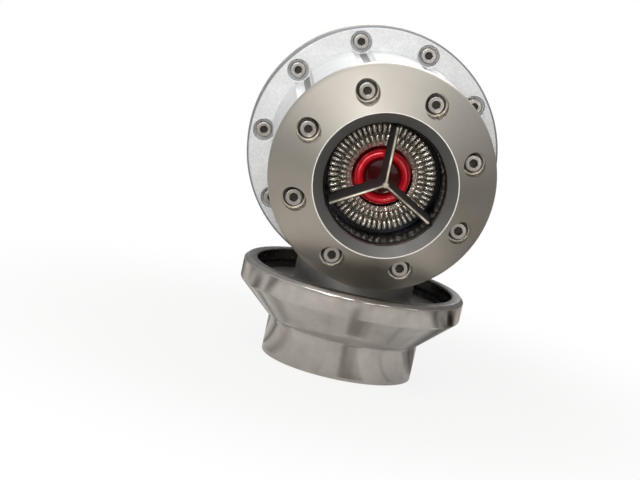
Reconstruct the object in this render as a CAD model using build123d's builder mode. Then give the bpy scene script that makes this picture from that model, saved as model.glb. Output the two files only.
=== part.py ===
from build123d import *
import os
from math import cos, radians, sin, sqrt, tan

# Pull-type sequential blow-off valve, seated in its weld-on flange. All sizes are in millimetres.
# Z runs up the inlet from the flange's weld end. The valve's own axis runs along Y, outlet to -Y.

# Fits
running_gap = 0.05      # radial, between pieces that slide or turn on each other
seated_gap = 0.05       # radial, between pieces of one assembly that seat in each other
plug_gap = 0.1          # radial, valve plug in the flange bore
open_gap = 0.3          # radial, where moving pieces must never touch

# Weld-on flange
spigot_radius = 25.4
spigot_length = 12.0
spigot_wall = 4.4
rim_top = 30.5
rim_wall = 4.3
rim_side = 7.5
rim_bevel = 1.2
mouth_chamfer = 0.4
cup_depth = 9.5
plug_bore_depth = 8.0

# Inlet neck, with the base disc and the plug that seat in the flange
plug_margin = 1.4       # plug's radius inside that of the spigot
plug_foot_gap = 0.3
port_margin = 7.5       # port's radius inside that of the plug
neck_wall = 3.5
neck_sink = 1.0         # how far its sides reach into the drum
neck_root_fillet = 2.0
base_disc_width = 8.8   # out from the plug
base_disc_thickness = 3.5
port_mouth_flare = 3.0
base_seal_thickness = 1.45
base_seal_width = 2.4
base_seal_drop = 3.0
base_seal_rounding = 0.5

# Retaining ring of the flange
ring_thickness = 1.6
ring_width = 2.8
ring_groove_depth = 1.4
ring_slack = 0.1
ring_opening = 26.0     # degrees left open between the two ears
ring_ear_radius = 2.2
ring_ear_hole = 0.9
ring_ear_turn = 3.0     # degrees past the ring's ends
ring_ear_inset = 1.0    # from the ring's inner edge to the ear's middle

# Main body: the drum, its rear flange and what is bored into it
drum_margin = 13.4      # out from the bell's register
drum_over_rim = 0.6
joint_setback = 1.0     # drum's front face ahead of the neck
front_wall = 4.0
chamber_front_length = 5.0
chamber_front_wall = 10.1
chamber_wall = 5.6
bay_wall = 3.4
flange_behind_rim = 0.8
flange_thickness = 5.5
flange_chamfer = 0.8
flange_margin = 5.2     # past the rear screws
pad_depth = 1.0
pad_width = 29.0        # degrees
pad_margin = 1.2
trough_radius = 4.4

# Guide plate, pressed in between the valve chamber and the diaphragm bay
guide_plate_thickness = 6.0
guide_plate_shoulder = 0.8  # out from the chamber
balance_hole_radius = 1.5
balance_hole_circle = 20.0

# Front housing
register_length = 2.5
lip_overhang = 0.3
lip_skirt = 1.6
lip_rounding = 5.0
cone_slope = 52.0       # degrees, from the joint face
outlet_radius = 19.6
outlet_bevel_depth = 2.6
outlet_bevel_width = 3.2
outlet_land = 3.0
edge_land = 0.3
insert_step = 1.2
register_wall = 2.4

# Screws: M3 socket heads
screw_radius = 1.5
head_radius = 2.75
head_height = 3.0
head_chamfer = 0.3
socket_flats = 2.5
socket_depth = 1.6
clearance_hole = 1.7
front_screw_count = 8
front_screw_offset = 5.8 # out from the register
front_screw_length = 11.0
front_head_recess = 4.1
front_counterbore = 3.95
washer_radius = 3.4
washer_thickness = 0.5
rear_screw_count = 10
rear_screw_offset = 2.2 # out from the drum
rear_screw_length = 8.0
rear_counterbore = 3.8
rear_head_recess = 2.6

# Front O-ring
face_seal_radius = 0.8
face_seal_offset = 1.8  # out from the register

# Outlet insert with three blades
insert_wall = 1.9
insert_length = 8.4
blade_edge = 0.7
blade_draft = 6.0       # degrees
blade_setback = 0.8     # hub tip behind the outlet's proud edge
blade_slant = 1.2
blade_depth = 10.6
hub_fillet = 3.4

# Secondary valve
disc_margin = 1.2
disc_thickness = 4.0
disc_lift_gap = 0.2
disc_seal_margin = 0.5
disc_seal_setback = 0.3
seal_thickness = 1.2
nose_gap = 0.6
nose_wall = 0.6
nose_length = 1.6
cage_gap = 1.8
cage_wall = 2.5
cage_rib_width = 26.0   # degrees
cage_length = 7.8
hub_plate = 3.0
boss_wall = 3.0
boss_length = 6.5
secondary_stroke = 6.0
stroke_margin = 3.0

# Fin ring on the secondary valve
fin_base = 1.2
outer_fin_count = 60
outer_fin_width = 1.1
outer_fin_length = 3.4
outer_fin_height = 1.7
inner_fin_count = 48
inner_fin_width = 1.0
inner_fin_length = 3.3
inner_fin_height = 2.4
fin_taper = 6.0         # degrees
fin_setback = 0.2

# Primary valve
nose_outer = 8.9
pilot_gap = 1.0
primary_overlap = 2.3
primary_thickness = 3.0
primary_gap = 0.1
nose_reach = 9.3
lip_tube = 0.75
dish_depth = 3.6
tip_radius = 1.1
tip_height = 1.2
primary_seal_margin = 0.4
primary_seal_thickness = 1.0
primary_stroke = 3.0

# Shaft, its guide and clips
shaft_radius = 4.0
thread_radius = 3.0
shaft_nose_length = 6.0
shaft_end = 0.8
shaft_chamfer = 0.4
clip_thickness = 1.2
clip_groove_depth = 0.6
clip_opening = 65.0     # degrees
lift_clip_width = 2.4
bush_wall = 3.0
bush_flange_width = 2.5
bush_flange = 2.0
bush_clip_width = 1.6
guide_seal_width = 1.8
guide_seal_wall = 1.35

# Diaphragm and its plates
diaphragm_thickness = 1.2
diaphragm_margin = 0.4
roll_radius = 3.6
roll_gap = 0.6
bay_gap = 0.8
plate_thickness = 1.5
plate_setback = 6.7
cup_rim = 1.2
cup_height = 2.8
nut_flats = 10.0
nut_height = 3.2

# Rear cover and hose nipple
cover_flange = 4.5
cover_depth = 15.1
dome_step = 1.3
dome_rounding = 6.0
dome_wall = 3.0
cover_boss_radius = 8.0
cover_boss_height = 1.5
spring_guide_radius = 5.0
spring_guide_height = 1.2
nipple_thread_radius = 3.0
nipple_flats = 11.0
nipple_hex_height = 4.5
nipple_radius = 2.9
nipple_length = 12.5
nipple_bore = 1.3
barb_length = 3.0
barb_groove = 1.0
barb_depth = 0.45
nipple_washer_radius = 6.2
nipple_washer_thickness = 1.0

# Springs
return_wire = 1.0       # wire radius
return_coil_radius = 15.0
return_turns = 3.5
closing_wire = 0.6      # wire radius
closing_coil_gap = 0.7
closing_turns = 5.0

# Radii that follow from the sizes above
plug_radius = spigot_radius - plug_margin
inlet_radius = spigot_radius - spigot_wall
port_radius = plug_radius - port_margin
base_disc_radius = plug_radius + base_disc_width
plug_bore = plug_radius + plug_gap
cup_radius = base_disc_radius + open_gap
rim_radius = cup_radius + rim_wall
neck_radius = port_radius + neck_wall
edge_radius = outlet_radius + outlet_bevel_width
insert_bore = outlet_radius + insert_step
register_radius = insert_bore + register_wall
drum_radius = register_radius + drum_margin
lip_radius = drum_radius + lip_overhang
chamber_front_radius = drum_radius - chamber_front_wall
chamber_radius = drum_radius - chamber_wall
bay_radius = drum_radius - bay_wall
guide_plate_radius = chamber_radius + guide_plate_shoulder
rear_screw_circle = drum_radius + rear_screw_offset
rear_flange_radius = rear_screw_circle + flange_margin
tapping_radius = screw_radius + seated_gap
front_screw_circle = register_radius + front_screw_offset
face_seal_circle = register_radius + face_seal_offset
cone_end_radius = lip_radius - lip_rounding * (1 - sin(radians(cone_slope)))
seat_inner = insert_bore - insert_wall
disc_radius = register_radius - disc_margin
disc_seal_outer = disc_radius - disc_seal_margin
disc_seal_inner = seat_inner + disc_seal_setback
nose_radius = seat_inner - nose_gap
fin_ring_radius = nose_radius - nose_wall
pilot_bore = nose_outer + pilot_gap
primary_radius = pilot_bore + primary_overlap
primary_seal_inner = pilot_bore + primary_seal_margin
primary_seal_outer = primary_radius - primary_seal_margin
cage_inner = primary_radius + cage_gap
cage_outer = cage_inner + cage_wall
sliding_bore = shaft_radius + running_gap
boss_radius = shaft_radius + boss_wall
bush_radius = shaft_radius + bush_wall
lift_clip_radius = shaft_radius + lift_clip_width
bush_clip_radius = bush_radius + bush_clip_width
closing_coil_radius = bush_clip_radius + closing_coil_gap + closing_wire
plate_radius = bay_radius - bay_gap - diaphragm_thickness / 2 - 2 * roll_radius - roll_gap
dome_radius = bay_radius + dome_step

# Heights on the inlet axis
axis_height = rim_top + drum_over_rim + drum_radius
cup_floor = rim_top - cup_depth
plug_bore_floor = cup_floor - plug_bore_depth
plug_low = plug_bore_floor + plug_foot_gap
disc_top = cup_floor + base_disc_thickness
neck_top = axis_height - sqrt(drum_radius ** 2 - neck_radius ** 2) + neck_sink

# Stations on the valve axis
joint_face = -(neck_radius + joint_setback)
chamber_rear = neck_radius
cone_foot_radius = edge_radius + edge_land
cone_rise = (cone_end_radius - cone_foot_radius) * tan(radians(cone_slope))
outlet_edge = joint_face - lip_skirt - lip_rounding * cos(radians(cone_slope)) - cone_rise
opening_station = outlet_edge + outlet_bevel_depth
insert_front = opening_station + outlet_land
insert_rear = insert_front + insert_length
seat_plane = joint_face + register_length
disc_front = seat_plane + disc_lift_gap
disc_rear = disc_front + disc_thickness
nose_front = disc_front - nose_length
hub_plate_front = disc_rear + cage_length
hub_plate_rear = hub_plate_front + hub_plate
boss_rear = hub_plate_rear + boss_length
bush_front = boss_rear + secondary_stroke + stroke_margin
primary_front = disc_rear + primary_gap
primary_rear = primary_front + primary_thickness
lift_clip_rear = hub_plate_front - primary_stroke
bay_front = chamber_rear + guide_plate_thickness
flange_front = rim_radius + flange_behind_rim
flange_rear = flange_front + flange_thickness
clamp_rear = flange_rear + diaphragm_thickness
plate_front = flange_rear - plate_setback
diaphragm_front = plate_front + plate_thickness
spring_cup_front = diaphragm_front + diaphragm_thickness
spring_cup_rear = spring_cup_front + plate_thickness
dome_rear = clamp_rear + cover_depth
dome_inside = dome_rear - dome_wall
guide_end = dome_inside - spring_guide_height
cone_rise_at_screws = (front_screw_circle - cone_foot_radius) * tan(radians(cone_slope))
front_head_top = outlet_edge + cone_rise_at_screws + front_head_recess
front_screw_seat = front_head_top + head_height
front_washer_seat = front_screw_seat + washer_thickness
rear_screw_seat = flange_front + rear_head_recess

valve_plane = Plane(origin=(0, 0, axis_height), x_dir=(1, 0, 0), z_dir=(0, 0, 1))
valve_axis = Axis((0, 0, axis_height), (0, 1, 0))


def facing_front(station):
    """The plane across the valve axis at this station, looking out of the outlet."""
    return Plane(origin=(0, station, axis_height), x_dir=(1, 0, 0), z_dir=(0, -1, 0))


def ring_section(inner, outer, front, rear):
    """Half section of a plain ring round the valve axis, for a sketch in the valve plane."""
    with Locations(((inner + outer) / 2, (front + rear) / 2)):
        Rectangle(outer - inner, rear - front)


def sector(inner, outer, middle, width):
    """Face between two arcs, centred on an angle in degrees."""
    with BuildLine() as outline:
        low_arc = CenterArc((0, 0), inner, middle - width / 2, width)
        high_arc = CenterArc((0, 0), outer, middle - width / 2, width)
        Line(low_arc @ 0, high_arc @ 0)
        Line(low_arc @ 1, high_arc @ 1)
    make_face(outline.edges())


def cut_chamber():
    """Cuts the front bore and the valve chamber out of the part in hand."""
    chamber_step = joint_face + front_wall + chamber_front_length
    with BuildSketch(valve_plane) as chamber:
        with BuildLine() as outline:
            Polyline(
                (0, joint_face),
                (register_radius + seated_gap, joint_face),
                (register_radius + seated_gap, joint_face + front_wall),
                (chamber_front_radius, joint_face + front_wall),
                (chamber_front_radius, chamber_step),
                (chamber_radius, chamber_step + chamber_radius - chamber_front_radius),
                (chamber_radius, chamber_rear),
                (0, chamber_rear),
                close=True,
            )
        make_face(outline.edges())
    revolve(chamber.sketch, axis=valve_axis, mode=Mode.SUBTRACT)


def socket_screws(circle, count, start, head_top, length):
    """Socket-head screws in a ring, heads towards the outlet."""
    seat = head_top + head_height
    with BuildSketch(facing_front(seat)) as heads:
        with PolarLocations(circle, count, start):
            Circle(head_radius)
    extrude(heads.sketch, amount=head_height)
    head_tops = faces().filter_by(GeomType.PLANE).sort_by(Axis.Y)[:count]
    chamfer(head_tops.edges(), head_chamfer)
    with BuildSketch(facing_front(head_top)) as sockets:
        with PolarLocations(circle, count, start):
            RegularPolygon(socket_flats / 2, 6, major_radius=False)
    extrude(sockets.sketch, amount=-socket_depth, mode=Mode.SUBTRACT)
    with BuildSketch(facing_front(seat)) as shanks:
        with PolarLocations(circle, count, start):
            Circle(screw_radius)
    extrude(shanks.sketch, amount=-length)


# Weld-on flange: a spigot, a 45 degree cone and a deep rim, bored in three steps
ring_low = disc_top + ring_slack
ring_high = ring_low + ring_thickness
with BuildPart() as weld_flange:
    with BuildSketch(Plane.XZ):
        with BuildLine():
            Polyline(
                (inlet_radius, 0),
                (spigot_radius, 0),
                (spigot_radius, spigot_length),
                (rim_radius, rim_top - rim_side),
                (rim_radius, rim_top - rim_bevel),
                (rim_radius - rim_bevel, rim_top),
                (cup_radius + mouth_chamfer, rim_top),
                (cup_radius, rim_top - mouth_chamfer),
                (cup_radius, cup_floor),
                (plug_bore, cup_floor),
                (plug_bore, plug_bore_floor),
                (inlet_radius, plug_bore_floor),
                close=True,
            )
        make_face()
        groove_low = ring_low - ring_slack / 2
        groove_high = ring_high + ring_slack / 2
        with Locations((cup_radius, (groove_low + groove_high) / 2)):
            Rectangle(2 * ring_groove_depth, groove_high - groove_low, mode=Mode.SUBTRACT)
    revolve(axis=Axis.Z)
weld_flange.part.label = "weld_flange"

# Internal retaining ring, open at the back, with an ear at each end
ring_outer = cup_radius + ring_groove_depth - seated_gap
ring_inner = ring_outer - ring_width
ear_circle = ring_inner - ring_ear_inset
with BuildPart() as retaining_ring:
    with BuildSketch(Plane.XY.offset(ring_low)):
        sector(ring_inner, ring_outer, -90, 360 - ring_opening)
        for side in (-1, 1):
            ear_angle = radians(90 + side * (ring_opening / 2 + ring_ear_turn))
            with Locations((ear_circle * cos(ear_angle), ear_circle * sin(ear_angle))):
                Circle(ring_ear_radius)
                Circle(ring_ear_hole, mode=Mode.SUBTRACT)
    extrude(amount=ring_thickness)
retaining_ring.part.label = "retaining_ring"

# Main body: drum and rear flange in one casting
pad_floor = drum_radius - pad_depth
with BuildPart() as main_body:
    with BuildSketch(valve_plane):
        with BuildLine():
            Polyline(
                (0, joint_face),
                (drum_radius, joint_face),
                (drum_radius, flange_front),
                (rear_flange_radius - flange_chamfer, flange_front),
                (rear_flange_radius, flange_front + flange_chamfer),
                (rear_flange_radius, flange_rear),
                (0, flange_rear),
                close=True,
            )
        make_face()
    revolve(axis=valve_axis)
    with BuildSketch(facing_front(flange_front)):
        with PolarLocations(rear_screw_circle, rear_screw_count):
            Circle(trough_radius)
    extrude(amount=flange_front - joint_face, mode=Mode.SUBTRACT)
    with BuildSketch(facing_front(flange_front - pad_margin)):
        for pitches in (-0.5, 2.5, 5.5):
            sector(pad_floor, drum_radius + pad_depth, pitches * 360 / rear_screw_count, pad_width)
    extrude(amount=flange_front - joint_face - 2 * pad_margin, mode=Mode.SUBTRACT)
    # Everything inside: front bore, valve chamber, and diaphragm bay with the guide plate's seat
    cut_chamber()
    with BuildSketch(valve_plane):
        ring_section(0, guide_plate_radius + seated_gap, chamber_rear, bay_front)
        ring_section(0, bay_radius, bay_front, flange_rear)
    revolve(axis=valve_axis, mode=Mode.SUBTRACT)
    # Socket for the inlet neck, and the port above it
    with BuildSketch(Plane.XY.offset(neck_top)):
        Circle(neck_radius + seated_gap)
    extrude(amount=rim_top - neck_top, mode=Mode.SUBTRACT)
    with BuildSketch(Plane.XY.offset(axis_height)):
        Circle(port_radius)
    extrude(amount=neck_top - axis_height, mode=Mode.SUBTRACT)
    # O-ring groove, screw holes and counterbores
    with BuildSketch(facing_front(joint_face)):
        Circle(face_seal_circle + face_seal_radius + seated_gap)
        Circle(face_seal_circle - face_seal_radius - seated_gap, mode=Mode.SUBTRACT)
    extrude(amount=-2 * face_seal_radius, mode=Mode.SUBTRACT)
    with BuildSketch(facing_front(joint_face)):
        with PolarLocations(front_screw_circle, front_screw_count, 180 / front_screw_count):
            Circle(tapping_radius)
    extrude(amount=-(front_screw_seat + front_screw_length + seated_gap - joint_face), mode=Mode.SUBTRACT)
    with BuildSketch(facing_front(rear_screw_seat)):
        with PolarLocations(rear_screw_circle, rear_screw_count):
            Circle(rear_counterbore)
    extrude(amount=rear_head_recess + pad_depth, mode=Mode.SUBTRACT)
    with BuildSketch(facing_front(flange_rear)):
        with PolarLocations(rear_screw_circle, rear_screw_count):
            Circle(clearance_hole)
    extrude(amount=flange_thickness, mode=Mode.SUBTRACT)
main_body.part.label = "main_body"

# Guide plate, with the bush's hole and the one that lets boost pressure reach the diaphragm
with BuildPart() as guide_plate:
    with BuildSketch(facing_front(bay_front)):
        Circle(guide_plate_radius)
        Circle(bush_radius + seated_gap, mode=Mode.SUBTRACT)
        with Locations((0, balance_hole_circle)):
            Circle(balance_hole_radius, mode=Mode.SUBTRACT)
    extrude(amount=guide_plate_thickness)
guide_plate.part.label = "guide_plate"

# Inlet neck in the drum's socket: neck, base disc and plug, with the port up the middle
seal_high = cup_floor - base_seal_drop
seal_low = seal_high - base_seal_width
seal_inner = plug_bore - running_gap - base_seal_thickness
with BuildPart() as inlet_neck:
    with BuildSketch(Plane.XZ):
        with BuildLine():
            root = JernArc(
                (neck_radius + neck_root_fillet, disc_top), (-1, 0), neck_root_fillet, -90
            )
            Polyline(
                root @ 1,
                (neck_radius, neck_top),
                (port_radius, neck_top),
                (port_radius, plug_low + port_mouth_flare),
                (port_radius + port_mouth_flare, plug_low),
                (plug_radius, plug_low),
                (plug_radius, cup_floor),
                (base_disc_radius, cup_floor),
                (base_disc_radius, disc_top),
                root @ 0,
            )
        make_face()
        with Locations((plug_radius, (seal_low + seal_high) / 2)):
            Rectangle(2 * (plug_radius - seal_inner + seated_gap), base_seal_width, mode=Mode.SUBTRACT)
    revolve(axis=Axis.Z)
    cut_chamber()
inlet_neck.part.label = "inlet_neck"

# O-ring on the plug, just clear of the flange bore
with BuildPart() as base_seal:
    with BuildSketch(Plane.XZ):
        with Locations((seal_inner + base_seal_thickness / 2, (seal_low + seal_high) / 2)):
            RectangleRounded(base_seal_thickness, base_seal_width, base_seal_rounding)
    revolve(axis=Axis.Z)
base_seal.part.label = "base_seal"

# Front housing: the conical bell with its sharp proud edge and bevelled mouth
with BuildPart() as front_housing:
    with BuildSketch(valve_plane):
        with BuildLine():
            cone = Line((cone_foot_radius, outlet_edge), (cone_end_radius, outlet_edge + cone_rise))
            rounding = JernArc(cone @ 1, cone % 1, lip_rounding, 90 - cone_slope)
            Polyline(
                rounding @ 1,
                (lip_radius, joint_face),
                (register_radius, joint_face),
                (register_radius, seat_plane),
                (insert_bore, seat_plane),
                (insert_bore, insert_front),
                (outlet_radius, insert_front),
                (outlet_radius, opening_station),
                (edge_radius, outlet_edge),
                cone @ 0,
            )
        make_face()
    revolve(axis=valve_axis)
    with BuildSketch(facing_front(front_washer_seat)):
        with PolarLocations(front_screw_circle, front_screw_count, 180 / front_screw_count):
            Circle(front_counterbore)
    extrude(amount=front_washer_seat - outlet_edge, mode=Mode.SUBTRACT)
    with BuildSketch(facing_front(joint_face)):
        with PolarLocations(front_screw_circle, front_screw_count, 180 / front_screw_count):
            Circle(clearance_hole)
    extrude(amount=joint_face - outlet_edge, mode=Mode.SUBTRACT)
front_housing.part.label = "front_housing"

with BuildPart() as face_seal:
    with BuildSketch(valve_plane):
        with Locations((face_seal_circle, joint_face + face_seal_radius)):
            Circle(face_seal_radius)
    revolve(axis=valve_axis)
face_seal.part.label = "face_seal"

with BuildPart() as front_washers:
    with BuildSketch(facing_front(front_washer_seat)):
        with PolarLocations(front_screw_circle, front_screw_count, 180 / front_screw_count):
            Circle(washer_radius)
            Circle(clearance_hole, mode=Mode.SUBTRACT)
    extrude(amount=washer_thickness)
front_washers.part.label = "front_washers"

with BuildPart() as front_screws:
    socket_screws(
        front_screw_circle, front_screw_count, 180 / front_screw_count, front_head_top, front_screw_length
    )
front_screws.part.label = "front_screws"

# Outlet insert: a sleeve with three deep blades that meet in a filleted hub
with BuildPart() as outlet_insert:
    hub_front = outlet_edge + blade_setback
    with BuildSketch(facing_front(hub_front)):
        for blade_angle in (90, 210, 330):
            with Locations(Rotation(0, 0, blade_angle)):
                with Locations((outlet_radius / 2, 0)):
                    Rectangle(outlet_radius, blade_edge)
        inner_corners = vertices().filter_by(lambda v: v.center().length < blade_edge * 2)
        fillet(inner_corners, hub_fillet)
    extrude(amount=-blade_depth, taper=-blade_draft)
    with BuildSketch(valve_plane):
        with BuildLine():
            Polyline(
                (0, hub_front),
                (outlet_radius - open_gap, hub_front + blade_slant),
                (outlet_radius - open_gap, insert_front),
                (insert_bore - seated_gap, insert_front),
                (insert_bore - seated_gap, insert_rear),
                (0, insert_rear - 2 * blade_slant),
                close=True,
            )
        make_face()
    revolve(axis=valve_axis, mode=Mode.INTERSECT)
    with BuildSketch(valve_plane):
        ring_section(insert_bore - insert_wall, insert_bore - seated_gap, insert_front, insert_rear)
    revolve(axis=valve_axis)
outlet_insert.part.label = "outlet_insert"

# Seat sleeve for the secondary valve, which also holds the insert in place
with BuildPart() as seat_sleeve:
    with BuildSketch(valve_plane):
        ring_section(seat_inner, insert_bore - seated_gap, insert_rear, seat_plane)
    revolve(axis=valve_axis)
seat_sleeve.part.label = "seat_sleeve"

# Secondary valve: disc and nose, with a caged hub behind that slides on the shaft
with BuildPart() as secondary_valve:
    with BuildSketch(valve_plane):
        ring_section(pilot_bore, disc_radius, disc_front, disc_rear)
        ring_section(pilot_bore, nose_radius, nose_front, disc_front)
    revolve(axis=valve_axis)
    with BuildSketch(valve_plane):
        ring_section(disc_seal_inner, disc_seal_outer, disc_front, seat_plane + seal_thickness)
        ring_section(0, fin_ring_radius + seated_gap, nose_front, nose_front + fin_base / 2)
    revolve(axis=valve_axis, mode=Mode.SUBTRACT)
    with BuildSketch(facing_front(hub_plate_front)):
        for rib_angle in (30, 150, 270):
            sector(cage_inner, cage_outer, rib_angle, cage_rib_width)
    extrude(amount=cage_length)
    with BuildSketch(valve_plane):
        ring_section(sliding_bore, cage_outer, hub_plate_front, hub_plate_rear)
        ring_section(sliding_bore, boss_radius, hub_plate_rear, boss_rear)
    revolve(axis=valve_axis)
secondary_valve.part.label = "secondary_valve"

with BuildPart() as secondary_seal:
    with BuildSketch(valve_plane):
        ring_section(disc_seal_inner, disc_seal_outer, seat_plane, seat_plane + seal_thickness)
    revolve(axis=valve_axis)
secondary_seal.part.label = "secondary_seal"

# Fin ring: two tiers of radial fins that cut the escaping air
with BuildPart() as fin_ring:
    fin_base_rear = nose_front + fin_base / 2
    fin_base_front = fin_base_rear - fin_base
    with BuildSketch(valve_plane):
        ring_section(pilot_bore, fin_ring_radius, fin_base_front, fin_base_rear)
    revolve(axis=valve_axis)
    outer_middle = fin_ring_radius - fin_setback - outer_fin_length / 2
    with BuildSketch(facing_front(fin_base_front)):
        with PolarLocations(outer_middle, outer_fin_count):
            Rectangle(outer_fin_length, outer_fin_width)
    extrude(amount=outer_fin_height, taper=fin_taper)
    inner_middle = pilot_bore + fin_setback + inner_fin_length / 2
    with BuildSketch(facing_front(fin_base_front)):
        with PolarLocations(inner_middle, inner_fin_count):
            Rectangle(inner_fin_length, inner_fin_width)
    extrude(amount=inner_fin_height, taper=fin_taper)
fin_ring.part.label = "fin_ring"

# Primary valve: a dished nose with a rolled lip and a small tip, on a seating disc
with BuildPart() as primary_valve:
    nose_tip = primary_front - nose_reach
    lip_circle = nose_outer - lip_tube
    with BuildSketch(valve_plane):
        with BuildLine():
            dish_floor = nose_tip + dish_depth
            lip = CenterArc((lip_circle, nose_tip + lip_tube), lip_tube, 0, -180)
            dish = ThreePointArc(
                lip @ 1,
                (lip_circle * 0.55, nose_tip + lip_tube + dish_depth * 0.62),
                (tip_radius, dish_floor),
            )
            Polyline(
                dish @ 1,
                (0, dish_floor - tip_height),
                (0, primary_rear),
                (primary_radius, primary_rear),
                (primary_radius, primary_front),
                (nose_outer, primary_front),
                lip @ 0,
            )
        make_face()
        seal_floor = disc_rear + primary_seal_thickness
        ring_groove_middle = (primary_seal_inner + primary_seal_outer) / 2
        with Locations((ring_groove_middle, (primary_front + seal_floor) / 2)):
            Rectangle(
                primary_seal_outer - primary_seal_inner, seal_floor - primary_front, mode=Mode.SUBTRACT
            )
        with Locations((thread_radius / 2, primary_rear - shaft_nose_length / 2)):
            Rectangle(thread_radius + 2 * seated_gap, shaft_nose_length + 2 * seated_gap, mode=Mode.SUBTRACT)
    revolve(axis=valve_axis)
primary_valve.part.label = "primary_valve"

with BuildPart() as primary_seal:
    with BuildSketch(valve_plane):
        ring_section(primary_seal_inner, primary_seal_outer, disc_rear, seal_floor)
    revolve(axis=valve_axis)
primary_seal.part.label = "primary_seal"

# Shaft from the primary valve to the diaphragm nut
shaft_rear = spring_cup_rear + nut_height + shaft_end
with BuildPart() as shaft:
    with BuildSketch(valve_plane):
        ring_section(0, thread_radius, primary_rear - shaft_nose_length, primary_rear)
        ring_section(0, shaft_radius, primary_rear, plate_front)
        ring_section(0, thread_radius, plate_front, shaft_rear)
        with Locations((shaft_radius, lift_clip_rear - clip_thickness / 2)):
            Rectangle(2 * clip_groove_depth, clip_thickness, mode=Mode.SUBTRACT)
    revolve(axis=valve_axis)
    chamfer(faces().sort_by(Axis.Y)[-1].edges(), shaft_chamfer)
shaft.part.label = "shaft"

# Open clip that lifts the secondary valve once the primary has moved its stroke
with BuildPart() as lift_clip:
    with BuildSketch(facing_front(lift_clip_rear)):
        sector(shaft_radius - clip_groove_depth + seated_gap, lift_clip_radius, 270, 360 - clip_opening)
    extrude(amount=clip_thickness)
lift_clip.part.label = "lift_clip"

# Guide bush through the guide plate, with its shaft seal and clip
with BuildPart() as guide_bush:
    seal_middle = (chamber_rear + bay_front) / 2
    with BuildSketch(valve_plane):
        ring_section(sliding_bore, bush_radius, bush_front, bay_front)
        ring_section(sliding_bore, bush_radius + bush_flange_width, bay_front, bay_front + bush_flange)
        with Locations((sliding_bore, seal_middle)):
            Rectangle(2 * guide_seal_wall, guide_seal_width, mode=Mode.SUBTRACT)
        with Locations((bush_radius, chamber_rear - clip_thickness / 2)):
            Rectangle(2 * clip_groove_depth, clip_thickness, mode=Mode.SUBTRACT)
    revolve(axis=valve_axis)
guide_bush.part.label = "guide_bush"

with BuildPart() as guide_seal:
    with BuildSketch(valve_plane):
        with Locations((sliding_bore + guide_seal_wall / 2, seal_middle)):
            Rectangle(guide_seal_wall, guide_seal_width)
    revolve(axis=valve_axis)
guide_seal.part.label = "guide_seal"

with BuildPart() as bush_clip:
    with BuildSketch(facing_front(chamber_rear)):
        sector(bush_radius - clip_groove_depth + seated_gap, bush_clip_radius, 270, 360 - clip_opening)
    extrude(amount=clip_thickness)
bush_clip.part.label = "bush_clip"

# Diaphragm: flat centre, one roll, and a flat rim clamped between flange and cover
rim_middle = flange_rear + diaphragm_thickness / 2
centre_middle = diaphragm_front + diaphragm_thickness / 2
roll_start = plate_radius + roll_gap
diaphragm_inner = thread_radius + seated_gap + diaphragm_thickness / 2
diaphragm_outer = rear_flange_radius - diaphragm_margin - diaphragm_thickness / 2
with BuildPart() as diaphragm:
    with BuildSketch(valve_plane):
        with BuildLine():
            Line((diaphragm_inner, centre_middle), (roll_start, centre_middle))
            roll = ThreePointArc(
                (roll_start, centre_middle),
                (roll_start + roll_radius, centre_middle - roll_radius),
                (roll_start + 2 * roll_radius, centre_middle),
            )
            Polyline(
                roll @ 1, (roll_start + 2 * roll_radius, rim_middle), (diaphragm_outer, rim_middle)
            )
            offset(amount=diaphragm_thickness / 2, side=Side.BOTH)
        make_face()
    revolve(axis=valve_axis)
    with BuildSketch(facing_front(clamp_rear)):
        with PolarLocations(rear_screw_circle, rear_screw_count):
            Circle(clearance_hole)
    extrude(amount=2 * diaphragm_thickness, mode=Mode.SUBTRACT)
diaphragm.part.label = "diaphragm"

with BuildPart() as front_plate:
    with BuildSketch(valve_plane):
        ring_section(thread_radius + seated_gap, plate_radius, plate_front, diaphragm_front)
    revolve(axis=valve_axis)
front_plate.part.label = "front_plate"

with BuildPart() as spring_cup:
    with BuildSketch(valve_plane):
        ring_section(thread_radius + seated_gap, plate_radius, spring_cup_front, spring_cup_rear)
        ring_section(plate_radius - cup_rim, plate_radius, spring_cup_rear, spring_cup_rear + cup_height)
    revolve(axis=valve_axis)
spring_cup.part.label = "spring_cup"

with BuildPart() as plate_nut:
    with BuildSketch(facing_front(spring_cup_rear)):
        RegularPolygon(nut_flats / 2, 6, major_radius=False)
        Circle(thread_radius + seated_gap, mode=Mode.SUBTRACT)
    extrude(amount=-nut_height)
plate_nut.part.label = "plate_nut"

# Rear cover: a domed cap with a boss for the hose nipple
with BuildPart() as rear_cover:
    with BuildSketch(valve_plane):
        with BuildLine():
            dome = JernArc(
                (dome_radius, dome_rear - dome_rounding), (0, 1), dome_rounding, 90
            )
            Polyline(
                dome @ 1,
                (cover_boss_radius, dome_rear),
                (cover_boss_radius, dome_rear + cover_boss_height),
                (nipple_thread_radius + seated_gap, dome_rear + cover_boss_height),
                (nipple_thread_radius + seated_gap, guide_end),
                (spring_guide_radius, guide_end),
                (spring_guide_radius, dome_inside),
                (dome_radius - dome_wall, dome_inside),
                (dome_radius - dome_wall, clamp_rear),
                (rear_flange_radius, clamp_rear),
                (rear_flange_radius, clamp_rear + cover_flange - flange_chamfer),
                (rear_flange_radius - flange_chamfer, clamp_rear + cover_flange),
                (dome_radius, clamp_rear + cover_flange),
                dome @ 0,
            )
        make_face()
    revolve(axis=valve_axis)
    with BuildSketch(facing_front(clamp_rear)):
        with PolarLocations(rear_screw_circle, rear_screw_count):
            Circle(tapping_radius)
    extrude(amount=-cover_flange, mode=Mode.SUBTRACT)
rear_cover.part.label = "rear_cover"

with BuildPart() as rear_screws:
    socket_screws(
        rear_screw_circle, rear_screw_count, 0, rear_screw_seat - head_height, rear_screw_length
    )
rear_screws.part.label = "rear_screws"

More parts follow.
